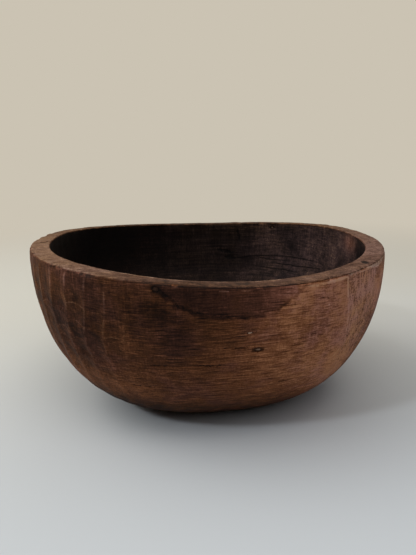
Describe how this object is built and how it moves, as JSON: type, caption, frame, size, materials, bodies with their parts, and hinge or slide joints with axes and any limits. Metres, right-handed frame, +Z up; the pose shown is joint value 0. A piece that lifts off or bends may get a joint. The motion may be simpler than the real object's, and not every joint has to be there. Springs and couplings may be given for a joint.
{
  "type": "carved wooden bowl",
  "caption": "Deep oval bowl carved from one block of dark hardwood, with a thick flat rim, tool-marked walls and a flat spot to stand on.",
  "frame": {"origin": "middle of the flat base, on the surface that the bowl stands on", "axes": "+X along the wood's grain and the bowl's longer side, +Y across the grain towards the back, +Z up"},
  "size_m": [0.3604, 0.3246, 0.1716],
  "materials": {
    "carved_wood": "oiled and worn, satin to matt",
    "knot_wood": "dense dark knot wood, satin"
  },
  "bodies": {
    "root": {"bowl": "carved_wood", "front_rim_knot": "knot_wood", "front_upper_knot": "knot_wood", "front_lower_knot": "knot_wood", "back_rim_knot": "knot_wood"}
  },
  "joints": []
}
